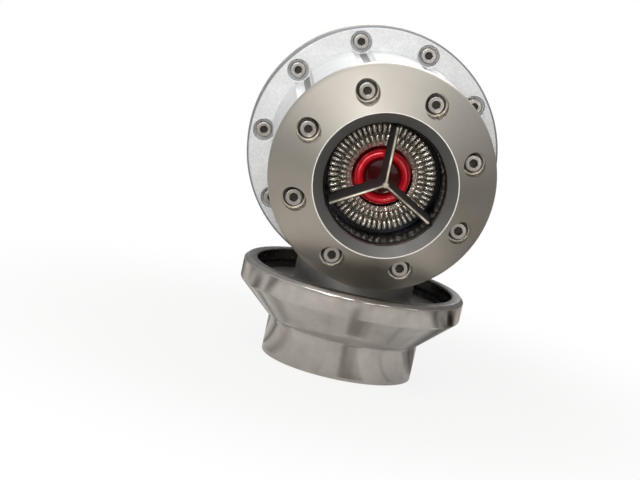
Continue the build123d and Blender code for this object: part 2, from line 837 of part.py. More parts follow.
cover_boss_rear = dome_rear + cover_boss_height
hex_front = cover_boss_rear + nipple_washer_thickness
hex_rear = hex_front + nipple_hex_height
nipple_end = hex_rear + nipple_length
with BuildPart() as nipple_washer:
    with BuildSketch(valve_plane):
        ring_section(nipple_thread_radius + seated_gap, nipple_washer_radius, cover_boss_rear, hex_front)
    revolve(axis=valve_axis)
nipple_washer.part.label = "nipple_washer"

# Hose nipple, screwed into the cover, with one barb
with BuildPart() as hose_nipple:
    with BuildSketch(valve_plane):
        ring_section(0, nipple_thread_radius, guide_end, hex_front)
        with BuildLine():
            Polyline(
                (0, hex_rear),
                (nipple_radius, hex_rear),
                (nipple_radius, nipple_end - barb_length - barb_groove),
                (nipple_radius - barb_depth, nipple_end - barb_length),
                (nipple_radius, nipple_end - barb_length),
                (nipple_radius - barb_depth, nipple_end),
                (0, nipple_end),
                close=True,
            )
        make_face()
    revolve(axis=valve_axis)
    with BuildSketch(facing_front(hex_front)):
        RegularPolygon(nipple_flats / 2, 6, major_radius=False)
    extrude(amount=-nipple_hex_height)
    with BuildSketch(facing_front(nipple_end)):
        Circle(nipple_bore)
    extrude(amount=guide_end - nipple_end, mode=Mode.SUBTRACT)
hose_nipple.part.label = "hose_nipple"


def coil_spring(front, rear, coil_radius, wire, turns):
    """Round-wire compression spring on the valve axis, between two stations."""
    height = rear - front - 2 * wire
    with BuildLine() as path:
        coil = Helix(
            height / turns, height, coil_radius, center=(0, front + wire, axis_height), direction=(0, 1, 0)
        )
    with BuildSketch(Plane(origin=coil @ 0, z_dir=coil % 0)) as section:
        Circle(wire)
    sweep(section.sketch, path=path.line)


# Return spring between the spring cup and the cover
with BuildPart() as return_spring:
    coil_spring(spring_cup_rear, dome_inside, return_coil_radius, return_wire, return_turns)
return_spring.part.label = "return_spring"

# Closing spring of the secondary valve, from its hub plate to the guide plate
with BuildPart() as closing_spring:
    coil_spring(hub_plate_rear, chamber_rear, closing_coil_radius, closing_wire, closing_turns)
closing_spring.part.label = "closing_spring"

os.makedirs("parts", exist_ok=True)
for piece in (
    weld_flange, retaining_ring, main_body, guide_plate, inlet_neck, base_seal, front_housing,
    face_seal, front_washers, front_screws, outlet_insert, seat_sleeve, secondary_valve, secondary_seal, fin_ring,
    primary_valve, primary_seal, shaft, lift_clip, guide_bush, guide_seal, bush_clip, diaphragm,
    front_plate, spring_cup, plate_nut, rear_cover, rear_screws, nipple_washer, hose_nipple,
    return_spring, closing_spring,
):
    export_step(piece.part, f"parts/{piece.part.label}.step")
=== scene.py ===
import bpy
import bmesh
from math import cos, pi, radians, sin
from mathutils import Matrix, Vector


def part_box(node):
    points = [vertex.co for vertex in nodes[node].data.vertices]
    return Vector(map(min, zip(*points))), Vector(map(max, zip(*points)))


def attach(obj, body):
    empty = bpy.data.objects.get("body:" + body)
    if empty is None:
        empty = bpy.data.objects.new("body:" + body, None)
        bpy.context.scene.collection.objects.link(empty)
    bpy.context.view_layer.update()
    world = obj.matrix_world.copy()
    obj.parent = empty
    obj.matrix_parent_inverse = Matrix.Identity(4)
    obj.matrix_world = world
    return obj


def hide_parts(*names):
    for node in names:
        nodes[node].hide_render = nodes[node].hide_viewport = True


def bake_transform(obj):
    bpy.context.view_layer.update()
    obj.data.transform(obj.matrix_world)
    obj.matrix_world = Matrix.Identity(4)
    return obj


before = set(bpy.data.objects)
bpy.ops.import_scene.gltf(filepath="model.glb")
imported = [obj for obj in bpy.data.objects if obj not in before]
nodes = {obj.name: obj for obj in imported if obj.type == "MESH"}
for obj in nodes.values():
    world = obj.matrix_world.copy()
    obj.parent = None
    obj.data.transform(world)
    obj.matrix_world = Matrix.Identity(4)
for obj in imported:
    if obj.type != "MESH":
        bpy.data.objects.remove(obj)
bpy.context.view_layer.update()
mm = 0.001
bellLow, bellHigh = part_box("front_housing")
valveHeight = (bellLow[2] + bellHigh[2]) / 2 / mm  # the valve's own axis, in mm above the weld end
print("frame loaded,", len(nodes), "nodes")


def linearColour(code):
    # sRGB hex to linear
    parts = [int(code[start:start + 2], 16) / 255 for start in (1, 3, 5)]
    return [part / 12.92 if part <= 0.04045 else ((part + 0.055) / 1.055) ** 2.4 for part in parts] + [1.0]


def addNode(tree, kind, settings=None, links=None):
    # sockets are set by name or number, anything else is a property of the node
    node = tree.nodes.new(kind)
    for key, value in (settings or {}).items():
        if isinstance(key, int) or key in node.inputs:
            node.inputs[key].default_value = value
        else:
            setattr(node, key, value)
    for key, source in (links or {}).items():
        tree.links.new(source, node.inputs[key])
    return node


def mathOf(tree, operation, *terms):
    # each term is a number or another node's output
    settings, links = {"operation": operation}, {}
    for index, term in enumerate(terms):
        (settings if isinstance(term, (int, float)) else links)[index] = term
    return addNode(tree, "ShaderNodeMath", settings, links).outputs[0]


def mixOf(tree, share, first, second):
    # a colour between two, each given in numbers or as another node's output
    settings, links = {"data_type": "RGBA"}, {0: share}
    for index, colour in ((6, first), (7, second)):
        (settings if isinstance(colour, (list, tuple)) else links)[index] = colour
    return addNode(tree, "ShaderNodeMix", settings, links).outputs[2]


def rampOf(tree, value, fromRange, toRange=(0, 1), shape="LINEAR"):
    # takes one range of numbers to another and stops at its ends
    settings = {
        "interpolation_type": shape, "From Min": fromRange[0], "From Max": fromRange[1],
        "To Min": toRange[0], "To Max": toRange[1],
    }
    return addNode(tree, "ShaderNodeMapRange", settings, {"Value": value}).outputs["Result"]


def noiseOf(tree, place, scale, detail, roughness=0.5):
    settings = {"Scale": scale, "Detail": detail, "Roughness": roughness}
    return addNode(tree, "ShaderNodeTexNoise", settings, {"Vector": place}).outputs["Fac"]


def coordinateOf(tree, kind):
    return addNode(tree, "ShaderNodeTexCoord").outputs[kind]


def partsOf(tree, vector):
    return addNode(tree, "ShaderNodeSeparateXYZ", links={0: vector}).outputs


def lengthOf(tree, vector):
    return addNode(tree, "ShaderNodeVectorMath", {"operation": "LENGTH"}, {0: vector}).outputs["Value"]


def mirroredRays(tree, rays):
    # 1 where something shows in a reflection or through a clear piece
    return mathOf(tree, "MAXIMUM", rays["Is Glossy Ray"], rays["Is Transmission Ray"])


# Camera, from the fit to the photograph
cameraView = {
    "place": (-56.01, -672.73, 152.10),
    "look": (0.06168, 0.98446, -0.16439),
    "up": (-0.20105, 0.17359, 0.96408),
    "lens": 115.3,
    "sensorWidth": 36,
    "clipStart": 10,
}
camera = bpy.data.objects.new("photoCamera", bpy.data.cameras.new("photoCamera"))
bpy.context.scene.collection.objects.link(camera)
ahead = Vector(cameraView["look"]).normalized()
side = ahead.cross(Vector(cameraView["up"])).normalized()
cameraTurn = Matrix((side, side.cross(ahead), -ahead)).transposed().to_4x4()
camera.matrix_world = Matrix.Translation(Vector(cameraView["place"]) * mm) @ cameraTurn
camera.data.lens = cameraView["lens"]
camera.data.sensor_width = cameraView["sensorWidth"]
camera.data.clip_start = cameraView["clipStart"] * mm
bpy.context.scene.camera = camera
bpy.context.scene.view_settings.view_transform = "Standard"

# Studio: a world that darkens downwards, to the right and behind the camera, with box lamps
white = (1, 1, 1, 1)
studio = {
    "zenith": "#ffffff",
    "horizon": "#75736f",
    "horizonReach": (-0.05, 0.75),  # heights of the view ray between which one turns into the other
    "front": "#958b7f",             # tone behind the camera, which the bright metal shows
    "frontReach": (-0.45, -0.92),
    "rightShade": "#55524e",        # tone of the darker right side
    "rightReach": (0.1, 0.8),
    "rightShare": 0.55,
    "mirroredWhite": 0.22,  # share of plain white in reflections, so that chrome keeps its contrast
    "lamps": [
        {"name": "overheadBox", "place": (-260, -330, 620), "size": (420, 420), "power": 2.1},
        {"name": "rightStrip", "place": (520, -260, 260), "size": (120, 420), "power": 0.12},
        {"name": "backBox", "place": (60, 620, 420), "size": (400, 300), "power": 1.2},
        {"name": "leftWindow", "place": (-420, -760, 330), "size": (150, 220), "power": 1.2},
        {"name": "rightWindow", "place": (430, -700, 400), "size": (130, 200), "power": 0.3},
        {"name": "frontFill", "place": (-70, -640, 240), "size": (110, 110), "power": 0.62},
        {"name": "lowWindow", "place": (230, -820, 60), "size": (150, 90), "power": 0.25},
        {"name": "lowLeftWindow", "place": (-330, -800, 70), "size": (150, 90), "power": 0.4},
    ],
}
world = bpy.data.worlds.new("softStudio")
bpy.context.scene.world = world
world.use_nodes = True
tree = world.node_tree
direction = partsOf(tree, coordinateOf(tree, "Generated"))
rays = addNode(tree, "ShaderNodeLightPath").outputs
height = rampOf(tree, direction["Z"], studio["horizonReach"], shape="SMOOTHSTEP")
sky = mixOf(tree, height, linearColour(studio["horizon"]), linearColour(studio["zenith"]))
mirroredShare = mathOf(tree, "MULTIPLY", mirroredRays(tree, rays), studio["mirroredWhite"])
backdrop = mixOf(tree, mirroredShare, sky, white)
towardsRight = rampOf(tree, direction["X"], studio["rightReach"], (0, studio["rightShare"]), "SMOOTHSTEP")
shadedSide = mixOf(tree, towardsRight, backdrop, linearColour(studio["rightShade"]))
towardsFront = rampOf(tree, direction["Y"], studio["frontReach"], shape="SMOOTHSTEP")
tonedFront = mixOf(tree, towardsFront, shadedSide, linearColour(studio["front"]))
seen = mixOf(tree, rays["Is Camera Ray"], tonedFront, white)
tree.links.new(seen, tree.nodes["Background"].inputs["Color"])

for lamp in studio["lamps"]:
    light = bpy.data.lights.new(lamp["name"], "AREA")
    light.shape = "RECTANGLE"
    light.size, light.size_y = (extent * mm for extent in lamp["size"])
    light.energy = lamp["power"]
    holder = bpy.data.objects.new(lamp["name"], light)
    bpy.context.scene.collection.objects.link(holder)
    holder.location = Vector(lamp["place"]) * mm
    aim = Vector((0, 0, valveHeight * mm)) - holder.location
    holder.rotation_euler = aim.to_track_quat("-Z", "Y").to_euler()

# Pale floor, which fades into the white behind it
paleFloor = {
    "colour": "#b3b0ab", "radius": 300, "sides": 128,
    "lift": 0.86,         # share of plain white that the camera sees in it under the valve
    "gloss": 0.22,        # the same share in reflections
    "fade": (0.2, 0.58),  # shares of the radius between which the lift grows to 1
}
bpy.ops.mesh.primitive_circle_add(
    vertices=paleFloor["sides"], radius=paleFloor["radius"] * mm, fill_type="NGON", location=(0, 0, 0)
)
floor = bpy.context.object
floor.name = "paleFloor"
floorFinish = bpy.data.materials.new("matt pale floor")
floorFinish.use_nodes = True
tree = floorFinish.node_tree
tree.nodes.clear()
matt = addNode(tree, "ShaderNodeBsdfDiffuse", {"Color": linearColour(paleFloor["colour"])})
lit = addNode(tree, "ShaderNodeEmission", {"Color": white})
rays = addNode(tree, "ShaderNodeLightPath").outputs
gloss = mathOf(tree, "MULTIPLY", mirroredRays(tree, rays), paleFloor["gloss"])
fade = [share * paleFloor["radius"] * mm for share in paleFloor["fade"]]
fromValve = lengthOf(tree, coordinateOf(tree, "Object"))
outwards = rampOf(tree, fromValve, fade, (paleFloor["lift"], 1), "SMOOTHSTEP")
lift = mathOf(tree, "MULTIPLY_ADD", rays["Is Camera Ray"], outwards, gloss)
lifted = addNode(tree, "ShaderNodeMixShader", links={0: lift, 1: matt.outputs[0], 2: lit.outputs[0]})
addNode(tree, "ShaderNodeOutputMaterial", links={"Surface": lifted.outputs[0]})
floor.data.materials.append(floorFinish)

# Dappled card on the floor, seen only in the metal, so that polished pieces have something to show
card = {
    "radii": (27, 290), "sides": 96, "height": 0.4, "dark": "#211d1a", "brown": "#6d5645",
    "perTurn": 7,                # patches round the valve
    "noise": (3.0, 0.55),        # detail and roughness
    "open": (0.37, 0.5),         # values of the noise between which the card opens
    "tingeRange": (0.42, 0.58),  # and between which it turns from dark to brown
}
sides = card["sides"]
angles = [2 * pi * step / sides for step in range(sides)]
arcs = [
    (radius * mm * cos(angle), radius * mm * sin(angle), card["height"] * mm)
    for radius in card["radii"] for angle in angles
]
mesh = bpy.data.meshes.new("dappledCard")
mesh.from_pydata(arcs, [], [
    (step, (step + 1) % sides, (step + 1) % sides + sides, step + sides) for step in range(sides)
])
sheet = bpy.data.objects.new("dappledCard", mesh)
bpy.context.scene.collection.objects.link(sheet)
board = bpy.data.materials.new("dappled matt card")
board.use_nodes = True
tree = board.node_tree
tree.nodes.clear()
onCard = coordinateOf(tree, "Object")
spread = partsOf(tree, onCard)
rayPlace = addNode(  # long rays outwards from the valve, which upright metal shows as upright stripes
    tree, "ShaderNodeCombineXYZ",
    links={0: mathOf(tree, "ARCTAN2", spread["Y"], spread["X"]), 1: lengthOf(tree, onCard)},
).outputs[0]
tinge = rampOf(tree, noiseOf(tree, rayPlace, card["perTurn"] / pi, 1.0), card["tingeRange"])
cardColour = mixOf(tree, tinge, linearColour(card["dark"]), linearColour(card["brown"]))
dapple = noiseOf(tree, rayPlace, card["perTurn"] / (2 * pi), *card["noise"])
openShare = rampOf(tree, dapple, card["open"])
dappled = addNode(tree, "ShaderNodeMixShader", links={
    0: openShare,
    1: addNode(tree, "ShaderNodeBsdfDiffuse", links={"Color": cardColour}).outputs[0],
    2: addNode(tree, "ShaderNodeBsdfTransparent").outputs[0],
})
addNode(tree, "ShaderNodeOutputMaterial", links={"Surface": dappled.outputs[0]})
mesh.materials.append(board)
sheet.visible_camera = False
sheet.visible_diffuse = False
sheet.visible_shadow = False
print("camera and studio ready")

# Finishes. Sizes are in mm: "patch" is the cloudy change of tone, "grain" the surface texture.
finishes = {
    # machined and buffed: mirror bright with faint lathe lines
    "polishedAluminium": {
        "dark": "#a8a39d", "light": "#e2deda", "patch": 9,
        "rough": (0.08, 0.19), "grain": 0.5, "depth": 0.006,
        "turned": "inlet",
    },
    # the rim's upper face: painted shade, a duller grey between two bright edges
    "rimPaintedShade": {
        "dark": "#6c6864", "light": "#8f8b86", "patch": 5,
        "rough": (0.26, 0.38), "grain": 0.5, "depth": 0.0015,
        "turned": "inlet",
    },
    # the inside of the cup, turned and left in its shade
    "shadedCup": {
        "dark": "#5d5954", "light": "#7a7670", "patch": 6,
        "rough": (0.2, 0.34), "grain": 0.5, "depth": 0.002,
        "turned": "inlet",
    },
    # glass-bead blasted: soft even grey that turns slowly from light to dark
    "beadBlastedAluminium": {
        "dark": "#bfb9af", "light": "#cdc7bd", "patch": 14,
        "rough": (0.34, 0.44), "grain": 0.35, "depth": 0.022,
    },
    # a knife edge left bare by the lathe: a thin white line
    "bareTurnedEdge": {
        "dark": "#ece9e4", "light": "#ffffff", "patch": 5,
        "rough": (0.3, 0.4), "grain": 0.4, "depth": 0.003,
        "turned": "valve", "metallic": 0.5,
    },
    # the mouth's bevel, finely turned, with painted shade: darker than the cone round it
    "shadeDarkenedBevel": {
        "dark": "#5d5c5a", "light": "#6a6866", "patch": 7,
        "rough": (0.5, 0.6), "grain": 0.4, "depth": 0.004,
        "turned": "valve", "metallic": 0.7,
    },
    # bright blasted casting: nearly white, with single grains that glitter
    "blastedCasting": {
        "dark": "#d3d5d7", "light": "#eceeee", "patch": 6,
        "rough": (0.4, 0.58), "grain": 0.45, "depth": 0.05,
        "glitter": 0.14, "metallic": 0.2,
        # painted shade in the troughs and on the outer edge: low and high radius from the valve's axis, and
        # colour
        "paintedLightRings": [(0, 34.6, "#7d7c7a"), (43.4, 45.5, "#85878a")],
    },
    # machined and left dull in the shade of the cup
    "machinedNeck": {
        "dark": "#a5a3a1", "light": "#c0bebb", "patch": 5,
        "rough": (0.34, 0.46), "grain": 0.4, "depth": 0.01,
        "turned": "inlet",
    },
    # plain turned stock: bright, with lathe rings
    "turnedAluminium": {
        "dark": "#bdbdbd", "light": "#d6d6d6", "patch": 10,
        "rough": (0.22, 0.34), "grain": 0.3, "depth": 0.006,
        "turned": "valve",
    },
    # hard anodised: dark grey, half matt
    "hardAnodisedAluminium": {
        "dark": "#242529", "light": "#36373c", "patch": 8,
        "rough": (0.2, 0.32), "grain": 0.3, "depth": 0.006,
    },
    # black chrome over polished metal: a dark shine in the ring, matt on the blades
    "blackChrome": {
        "dark": "#1f1e1e", "light": "#2b2a29", "patch": 9,
        "rough": (0.2, 0.28), "grain": 0.6, "depth": 0.001,
        # the blades lie within this radius, and their front edges carry a painted highlight along the middle
        "edgeHighlight": {
            "within": 18.4, "blades": 3, "firstBlade": 90, "roughness": 0.62,
            "tones": ("#7f776b", "#fbf1da"), "highlightRange": (0.36, 0.6),  # values of the patches from a dimmer to a brighter painted highlight
            "facing": (-0.85, -0.97),  # forward share of a face's direction from which it counts as front
            "width": 0.5, "fade": (1.5, 1.1), "leastHighlight": 0.2,
        },
    },
    # the floor between the fins: painted shade
    "darkenedChrome": {
        "dark": "#5f574f", "light": "#8f857a", "patch": 2,
        "rough": (0.2, 0.35), "grain": 0.5, "depth": 0.006,
    },
    # bright chrome over small cast fins: hard sparkles
    "brightChrome": {
        "dark": "#bcb1a2", "light": "#fffdf8", "patch": 1.1,
        "rough": (0.12, 0.26), "grain": 0.8, "depth": 0.12,
        "metallic": 0.8,
    },
    # the screws' hex sockets: broached, dark with painted shade
    "shadedSocket": {
        "dark": "#2f2d2c", "light": "#4b4845", "patch": 1,
        "rough": (0.3, 0.45), "grain": 0.3, "depth": 0.01,
    },
    # stamped washers, dull and in the shade of the counterbores
    "dullWasher": {
        "dark": "#3a3837", "light": "#52504e", "patch": 2,
        "rough": (0.3, 0.42), "grain": 0.3, "depth": 0.006,
    },
    # clear red anodising on a mirror finish: candy red with white lights
    "redAnodisedAluminium": {
        "dark": "#f8122a", "light": "#ff1c34", "patch": 8,
        "rough": (0.2, 0.27), "grain": 0.4, "depth": 0.001,
        "turned": "valve", "coat": 0.6, "metallic": 0.2,
        # painted shade deep in the dish, and a painted highlight on the tip of its button
        "paintedLightRings": [(0, 0.9, "#b81a20"), (0.9, 5.4, "#4a0208"), (5.4, 6.1, "#7c0710")],
    },
    # cold-headed and tumbled stainless: bright and slightly soft
    "stainlessSteel": {
        "dark": "#9c9995", "light": "#bfbcb7", "patch": 2,
        "rough": (0.27, 0.36), "grain": 0.8, "depth": 0.0006,
    },
    # oil-tempered wire and strip: blue-grey, half bright
    "springSteel": {
        "dark": "#4a4a4c", "light": "#6d6d70", "patch": 2,
        "rough": (0.25, 0.4), "grain": 0.3, "depth": 0.006,
    },
    # turned bronze: warm yellow-brown, half bright
    "bearingBronze": {
        "dark": "#a8793a", "light": "#cf9f5c", "patch": 4,
        "rough": (0.22, 0.36), "grain": 0.3, "depth": 0.005,
        "turned": "valve",
    },
    # annealed copper washer: pinkish and dull
    "softCopper": {
        "dark": "#b06a48", "light": "#d08a66", "patch": 2,
        "rough": (0.25, 0.4), "grain": 0.3, "depth": 0.006,
    },
    # moulded nitrile: black, slightly greasy
    "nitrileRubber": {
        "dark": "#161617", "light": "#242426", "patch": 3,
        "rough": (0.45, 0.62), "grain": 0.25, "depth": 0.01,
        "metallic": 0.0,
    },
    # cloth-backed diaphragm rubber: matt black with a woven print
    "diaphragmRubber": {
        "dark": "#1c1c1e", "light": "#303033", "patch": 1.2,
        "rough": (0.6, 0.8), "grain": 0.7, "depth": 0.04,
        "metallic": 0.0,
    },
}
coatRoughness = 0.06
patchNoise = (4.0, 0.6)  # detail and roughness of the cloudy patches
grainNoise = (3.0, 0.7)  # and of the surface texture
patchRange = (0.3, 0.7)  # values of the patches between which the metal goes from rough to smooth


def axesOf(tree, place, axis):
    # distance from the inlet's axis or else the valve's, station along it, and the two ways across it
    parts = partsOf(tree, place)
    across, along = parts["Y"], parts["Z"]
    if axis != "inlet":
        across, along = mathOf(tree, "SUBTRACT", parts["Z"], valveHeight * mm), parts["Y"]
    flat = addNode(tree, "ShaderNodeCombineXYZ", links={0: parts["X"], 1: across}).outputs[0]
    return {"reach": lengthOf(tree, flat), "along": along, "across": across, "sideways": parts["X"]}


def glittering(tree, look, place, colour):
    # single grains lie flatter and catch the light
    grains = addNode(tree, "ShaderNodeTexVoronoi", {"Scale": 1 / (look["grain"] * mm)}, {"Vector": place})
    single = addNode(tree, "ShaderNodeSeparateColor", links={0: grains.outputs["Color"]}).outputs[0]
    bright = rampOf(tree, single, (0, 1), (1 - look["glitter"], 1))
    settings = {"data_type": "RGBA", "blend_type": "MULTIPLY", 0: 1.0}
    return addNode(tree, "ShaderNodeMix", settings, {6: colour, 7: bright}).outputs[2]


def ringsOfPaintedLight(tree, look, axes, colour):
    # rings of painted shade and painted highlight, each from one radius to another
    for inside, outside, shade in look["paintedLightRings"]:
        middle, halfWidth = (inside + outside) / 2 * mm, (outside - inside) / 2 * mm
        inBand = mathOf(tree, "COMPARE", axes["reach"], middle, halfWidth)
        colour = mixOf(tree, inBand, colour, linearColour(shade))
    return colour


def paintEdgeHighlight(tree, edgeHighlight, axes, patches, colour, within):
    # a painted highlight along the middle of the blades' front edges
    facing = rampOf(tree, partsOf(tree, coordinateOf(tree, "Normal"))["Y"], edgeHighlight["facing"])
    around = mathOf(tree, "ARCTAN2", axes["across"], axes["sideways"])
    # the blades lie where this angle is a whole turn
    turned = mathOf(
        tree, "MULTIPLY_ADD", around, edgeHighlight["blades"], -radians(edgeHighlight["blades"] * edgeHighlight["firstBlade"])
    )
    aside = mathOf(tree, "ABSOLUTE", mathOf(tree, "SINE", turned))
    offMiddle = mathOf(tree, "MULTIPLY", aside, axes["reach"])
    limits = [share * edgeHighlight["width"] * mm for share in edgeHighlight["fade"]]
    onBlade = rampOf(tree, offMiddle, limits, (edgeHighlight["leastHighlight"], 1))
    highlit = mathOf(tree, "MULTIPLY", mathOf(tree, "MULTIPLY", facing, within), onBlade)
    dimHighlight, bright = (linearColour(code) for code in edgeHighlight["tones"])
    edgeTone = mixOf(tree, rampOf(tree, patches, edgeHighlight["highlightRange"]), dimHighlight, bright)
    return mixOf(tree, highlit, colour, edgeTone)


def makeFinish(name, look):
    material = bpy.data.materials.new(name)
    material.use_nodes = True
    tree = material.node_tree
    shader = tree.nodes["Principled BSDF"].inputs
    shader["Metallic"].default_value = look.get("metallic", 1.0)
    shader["Coat Weight"].default_value = look.get("coat", 0.0)
    shader["Coat Roughness"].default_value = coatRoughness
    place = coordinateOf(tree, "Object")
    axes = axesOf(tree, place, look.get("turned"))
    patches = noiseOf(tree, place, 1 / (look["patch"] * mm), *patchNoise)
    colour = mixOf(tree, patches, linearColour(look["dark"]), linearColour(look["light"]))
    roughness = rampOf(tree, patches, patchRange, (look["rough"][1], look["rough"][0]))
    grainPlace = place
    if "turned" in look:  # rings about the axis that the piece was turned on
        ringed = addNode(tree, "ShaderNodeCombineXYZ", links={0: axes["reach"], 1: axes["along"]})
        grainPlace = ringed.outputs[0]
    grain = noiseOf(tree, grainPlace, 1 / (look["grain"] * mm), *grainNoise)
    relief = addNode(
        tree, "ShaderNodeBump", {"Strength": 1.0, "Distance": look["depth"] * mm}, {"Height": grain}
    )
    if "glitter" in look:
        colour = glittering(tree, look, place, colour)
    if "paintedLightRings" in look:
        # painted shade and painted highlight in rings round the axis
        colour = ringsOfPaintedLight(tree, look, axes, colour)
    if "edgeHighlight" in look:  # the blades are matt, the ring round them shines
        edgeHighlight = look["edgeHighlight"]
        within = mathOf(tree, "LESS_THAN", axes["reach"], edgeHighlight["within"] * mm)
        # the blades' front edges get a painted highlight
        colour = paintEdgeHighlight(tree, edgeHighlight, axes, patches, colour, within)
        tree.links.new(mathOf(tree, "SUBTRACT", 1.0, within), shader["Metallic"])
        roughness = addNode(
            tree, "ShaderNodeMix", {"data_type": "FLOAT", 3: edgeHighlight["roughness"]}, {0: within, 2: roughness}
        ).outputs[0]
    tree.links.new(roughness, shader["Roughness"])
    tree.links.new(relief.outputs["Normal"], shader["Normal"])
    tree.links.new(colour, shader["Base Color"])
    return material


materials = {name: makeFinish(name, look) for name, look in finishes.items()}
finishOfNode = {
    "weld_flange": "polishedAluminium", "retaining_ring": "springSteel", "main_body": "blastedCasting",
    "guide_plate": "turnedAluminium", "inlet_neck": "machinedNeck",
    "base_seal": "nitrileRubber", "front_housing": "beadBlastedAluminium", "face_seal": "nitrileRubber",
    "front_washers": "dullWasher", "front_screws": "stainlessSteel", "outlet_insert": "blackChrome",
    "seat_sleeve": "hardAnodisedAluminium", "guide_bush": "bearingBronze", "guide_seal": "nitrileRubber",
    "bush_clip": "springSteel", "diaphragm": "diaphragmRubber", "rear_cover": "beadBlastedAluminium",
    "rear_screws": "stainlessSteel", "nipple_washer": "softCopper", "hose_nipple": "bearingBronze",
    "return_spring": "springSteel", "closing_spring": "springSteel",
    "secondary_valve": "hardAnodisedAluminium",
    "secondary_seal": "nitrileRubber", "fin_ring": "brightChrome", "primary_valve": "redAnodisedAluminium",
    "primary_seal": "nitrileRubber", "shaft": "stainlessSteel", "lift_clip": "springSteel",
    "front_plate": "turnedAluminium", "spring_cup": "turnedAluminium", "plate_nut": "stainlessSteel",
}
for nodeName, finish in finishOfNode.items():
    nodes[nodeName].data.materials.clear()
    nodes[nodeName].data.materials.append(materials[finish])
print("finishes ready,", len(materials))


def roundedOutline(corners, steps=4):
    # a corner is (radius, station) or (radius, station, rounding)
    outline = []
    for index, corner in enumerate(corners):
        here = Vector(corner[:2])
        if len(corner) < 3:
            outline.append(here)
            continue
        towards = (Vector(corners[index - 1][:2]) - here).normalized() * corner[2]
        onward = (Vector(corners[(index + 1) % len(corners)][:2]) - here).normalized() * corner[2]
        for step in range(steps + 1):
            share = step / steps
            outline.append(here + towards * (1 - share) ** 2 + onward * share ** 2)
    return outline


def addPiece(name, mesh):
    piece = bpy.data.objects.new(name, mesh)
    bpy.context.scene.collection.objects.link(piece)
    return piece


def pieceFromPoints(name, points, faces, weldDistance=0.002):
    # points closer together than the weld distance, in mm, become one
    mesh = bpy.data.meshes.new(name)
    mesh.from_pydata(points, [], faces)
    shell = bmesh.new()
    shell.from_mesh(mesh)
    bmesh.ops.remove_doubles(shell, verts=shell.verts, dist=weldDistance * mm)
    bmesh.ops.recalc_face_normals(shell, faces=shell.faces)
    shell.to_mesh(mesh)
    shell.free()
    return addPiece(name, mesh)


def valvePoint(radius, angle, station, centre=(0, 0)):
    # a point by its radius and angle about the valve's axis, or about a centre beside it
    return Vector((
        centre[0] + radius * cos(angle), station, valveHeight + centre[1] + radius * sin(angle)
    )) * mm


def facesRound(segments, rows, closed=True):
    # four-sided faces between each outline and the next, all the way round
    faces = []
    for step in range(segments):
        here, onwards = step * rows, (step + 1) % segments * rows
        for row in range(rows if closed else rows - 1):
            below = (row + 1) % rows
            faces.append((here + row, here + below, onwards + below, onwards + row))
    return faces


def turnedPiece(name, corners, axis="valve", segments=160, centre=(0, 0), closed=True):
    # a piece from the lathe: the outline goes once round the inlet or the valve axis
    outline = roundedOutline(corners)
    points = []
    for step in range(segments):
        angle = 2 * pi * step / segments
        for radius, station in outline:
            if axis == "inlet":
                points.append(Vector((radius * cos(angle), radius * sin(angle), station)) * mm)
            else:
                points.append(valvePoint(radius, angle, station, centre))
    return pieceFromPoints(name, points, facesRound(segments, len(outline), closed))


def settle(piece, sharpFrom=30):
    # applies the modifiers, then smooths all but the sharp edges
    bpy.context.view_layer.update()
    evaluated = piece.evaluated_get(bpy.context.evaluated_depsgraph_get())
    mesh = bpy.data.meshes.new_from_object(evaluated)
    piece.modifiers.clear()
    piece.data = mesh
    mesh.shade_smooth()
    mesh.set_sharp_from_angle(angle=radians(sharpFrom))


def cutWith(piece, cutters):
    # cuts the cutters out of the piece and removes them
    for cutter in cutters:
        cut = piece.modifiers.new("cut", "BOOLEAN")
        cut.operation = "DIFFERENCE"
        cut.solver = "EXACT"
        cut.object = cutter
    settle(piece)
    for cutter in cutters:
        bpy.data.objects.remove(cutter)


def joined(name, parts):
    # one piece from several
    shell = bmesh.new()
    for part in parts:
        shell.from_mesh(part.data)
        bpy.data.objects.remove(part)
    mesh = bpy.data.meshes.new(name)
    shell.to_mesh(mesh)
    shell.free()
    return addPiece(name, mesh)


def dress(piece, *finishNames):
    # the first finish goes on all faces
    settle(piece)
    piece.data.materials.clear()
    for finishName in finishNames:
        piece.data.materials.append(materials[finishName])


def ridePiece(piece, node, body):
    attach(piece, body)
    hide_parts(node)


# Weld-on flange, with its stations in mm above the weld end
flange = {
    "bore": 21, "spigot": 25.4, "spigotTop": 12, "rim": 37.4, "coneTop": 23, "top": 30.5, "bevel": 1.2,
    "lip": 33.5, "cup": 33.1, "lipDepth": 0.4, "groove": 34.5, "grooveTop": 26.25, "grooveFoot": 24.55,
    "cupFloor": 21, "plugBore": 24.1, "plugFloor": 13,
    "edge": 0.15, "rimRounding": 0.25, "footRounding": 0.6, "coneRounding": 0.5, "floorRounding": 0.3,
    "rimShadeFrom": 29.4, "shadedWithin": 34.6, "shadedBelow": 30.2,  # where its other finishes lie
    "levelFrom": 0.9,  # upward share of a face's direction from which it counts as a floor
}
edge, rim, top, cup = flange["edge"], flange["rim"], flange["top"], flange["cup"]
flangePiece = turnedPiece("weldFlangeTurned", [
    (flange["bore"], 0, edge), (flange["spigot"], 0, edge),
    (flange["spigot"], flange["spigotTop"], flange["footRounding"]),
    (rim, flange["coneTop"], flange["coneRounding"]), (rim, top - flange["bevel"], flange["rimRounding"]),
    (rim - flange["bevel"], top, flange["rimRounding"]),
    (flange["lip"], top, edge), (cup, top - flange["lipDepth"], edge), (cup, flange["grooveTop"], edge),
    (flange["groove"], flange["grooveTop"]), (flange["groove"], flange["grooveFoot"]),
    (cup, flange["grooveFoot"], edge), (cup, flange["cupFloor"], flange["floorRounding"]),
    (flange["plugBore"], flange["cupFloor"], edge), (flange["plugBore"], flange["plugFloor"]),
    (flange["bore"], flange["plugFloor"], edge),
], "inlet", 220)
dress(flangePiece, "polishedAluminium", "shadedCup", "rimPaintedShade")
ridePiece(flangePiece, "weld_flange", "mount_flange")
